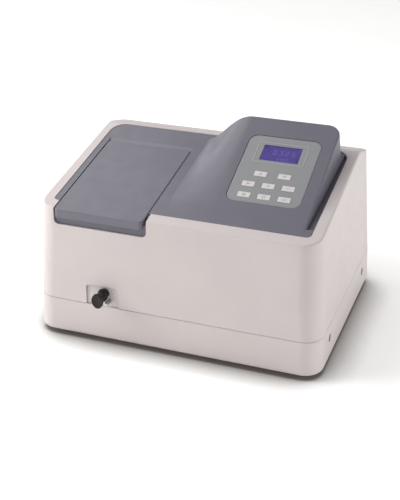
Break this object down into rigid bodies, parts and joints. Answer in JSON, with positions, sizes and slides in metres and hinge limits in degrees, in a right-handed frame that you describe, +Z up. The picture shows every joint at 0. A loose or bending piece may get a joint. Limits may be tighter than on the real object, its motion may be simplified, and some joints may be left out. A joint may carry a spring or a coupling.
{
  "type": "spectrophotometer",
  "caption": "Bench spectrophotometer with a hinged sample compartment lid, a pull rod for its cell carriage, and a raised console with a display and keys.",
  "frame": {"origin": "on the bench surface, under the centre of the bounding box", "axes": "+X to the right as the user faces the front, +Y from the front to the rear, +Z up"},
  "size_m": [0.4642, 0.369, 0.3062],
  "materials": {
    "casing": "satin moulded, fine texture",
    "deck": "satin moulded, fine texture",
    "lid": "satin moulded, fine texture",
    "plate": "satin",
    "display": "clear, tinted",
    "glass": "clear",
    "key": "satin",
    "knob": "satin",
    "black_plastic": "matt",
    "white_plastic": "matt",
    "rocker": "gloss",
    "steel": "turned",
    "aluminium": "milled",
    "zinc_sheet": "zinc plated",
    "rear_sheet": "powder coated",
    "black_anodised": "matt black",
    "circuit_board": "solder mask",
    "rubber": "matt",
    "seal_foam": "matt foam",
    "mirror": "first surface",
    "filter": "tinted",
    "ceramic": "unglazed"
  },
  "bodies": {
    "root": {"base_plate": "aluminium", "beam_lens": "glass", "carriage_rails": "steel", "casing_screws": "steel", "collimating_mirror": "mirror", "control_plate": "plate", "data_port": "steel", "detector_board": "circuit_board", "detector_housing": "black_anodised", "drive_motor": "steel", "fan_frame": "black_plastic", "filter_motor": "steel", "focusing_mirror": "mirror", "fuse_cap": "black_plastic", "halogen_lamp": "glass", "keypad_board": "circuit_board", "lamp_house": "aluminium", "lamp_socket": "ceramic", "lcd_glass": "glass", "lcd_module": "black_plastic", "lcd_window": "display", "lid_hinge_pins": "steel", "lower_casing": "casing", "main_board": "circuit_board", "mains_inlet": "black_plastic", "monochromator_base": "black_anodised", "monochromator_cover": "black_anodised", "power_supply": "zinc_sheet", "rear_panel": "rear_sheet", "rear_panel_screws": "steel", "rod_bush": "black_plastic", "rubber_feet": "rubber", "sample_box": "black_anodised", "slit_plates": "steel", "stop_pin": "steel", "switch_frame": "black_plastic", "top_deck": "deck", "upper_casing": "casing"},
    "lid": {"compartment_lid": "lid", "lid_seal": "seal_foam"},
    "sample_slide": {"pull_rod": "steel", "rod_knob": "knob", "cell_carriage": "black_anodised", "cuvettes": "glass", "cuvette_caps": "white_plastic"},
    "rocker": {"power_rocker": "rocker"},
    "fan": {"fan_rotor": "black_plastic"},
    "filter_wheel_body": {"filter_wheel": "aluminium", "filter_glass": "filter"},
    "grating_table": {"grating_turntable": "aluminium", "grating": "mirror"},
    "plunger": {"drive_plunger": "steel"},
    "key_1_body": {"key_1": "key"},
    "key_2_body": {"key_2": "key"},
    "key_3_body": {"key_3": "key"},
    "key_4_body": {"key_4": "key"},
    "key_5_body": {"key_5": "key"},
    "key_6_body": {"key_6": "key"},
    "key_7_body": {"key_7": "key"},
    "key_8_body": {"key_8": "key"}
  },
  "joints": [
    {"name": "lid_hinge", "type": "hinge", "parent": "root", "child": "lid", "pos_m": [0, 0.05276, 0.2481], "axis": [-1, 0, 0], "range_deg": [0, 100]},
    {"name": "sample_slide", "type": "slide", "parent": "root", "child": "sample_slide", "axis": [0, -1, 0], "range_m": [0, 0.048]},
    {"name": "power_rocker", "type": "hinge", "parent": "root", "child": "rocker", "pos_m": [0.07, 0.17316, 0.11753], "axis": [-1, 0, 0], "range_deg": [0, 20]},
    {"name": "fan_spin", "type": "hinge", "parent": "root", "child": "fan", "pos_m": [-0.096, 0.16903, 0.1333], "axis": [0, 0.9981, 0.0619], "continuous": true},
    {"name": "filter_wheel_spin", "type": "hinge", "parent": "root", "child": "filter_wheel_body", "pos_m": [-0.005, 0.05287, 0.09], "axis": [0, 1, 0], "continuous": true},
    {"name": "grating_turn", "type": "hinge", "parent": "root", "child": "grating_table", "pos_m": [0.045, 0.00137, 0.072], "axis": [0, 0, 1], "range_deg": [-10, 10]},
    {"name": "plunger_slide", "type": "slide", "parent": "root", "child": "plunger", "axis": [0, 1, 0], "range_m": [-0.0071, 0.0071]},
    {"name": "key_1_press", "type": "slide", "parent": "root", "child": "key_1_body", "axis": [0, 0.3714, -0.9285], "range_m": [0, 0.0008], "stiffness_N_per_m": 600},
    {"name": "key_2_press", "type": "slide", "parent": "root", "child": "key_2_body", "axis": [0, 0.3714, -0.9285], "range_m": [0, 0.0008], "stiffness_N_per_m": 600},
    {"name": "key_3_press", "type": "slide", "parent": "root", "child": "key_3_body", "axis": [0, 0.3714, -0.9285], "range_m": [0, 0.0008], "stiffness_N_per_m": 600},
    {"name": "key_4_press", "type": "slide", "parent": "root", "child": "key_4_body", "axis": [0, 0.3714, -0.9285], "range_m": [0, 0.0008], "stiffness_N_per_m": 600},
    {"name": "key_5_press", "type": "slide", "parent": "root", "child": "key_5_body", "axis": [0, 0.3714, -0.9285], "range_m": [0, 0.0008], "stiffness_N_per_m": 600},
    {"name": "key_6_press", "type": "slide", "parent": "root", "child": "key_6_body", "axis": [0, 0.3714, -0.9285], "range_m": [0, 0.0008], "stiffness_N_per_m": 600},
    {"name": "key_7_press", "type": "slide", "parent": "root", "child": "key_7_body", "axis": [0, 0.3714, -0.9285], "range_m": [0, 0.0008], "stiffness_N_per_m": 600},
    {"name": "key_8_press", "type": "slide", "parent": "root", "child": "key_8_body", "axis": [0, 0.3714, -0.9285], "range_m": [0, 0.0008], "stiffness_N_per_m": 600}
  ],
  "couplings": [
    {"joint": "plunger_slide", "follows": "grating_turn", "m_per_rad": 0.04}
  ]
}
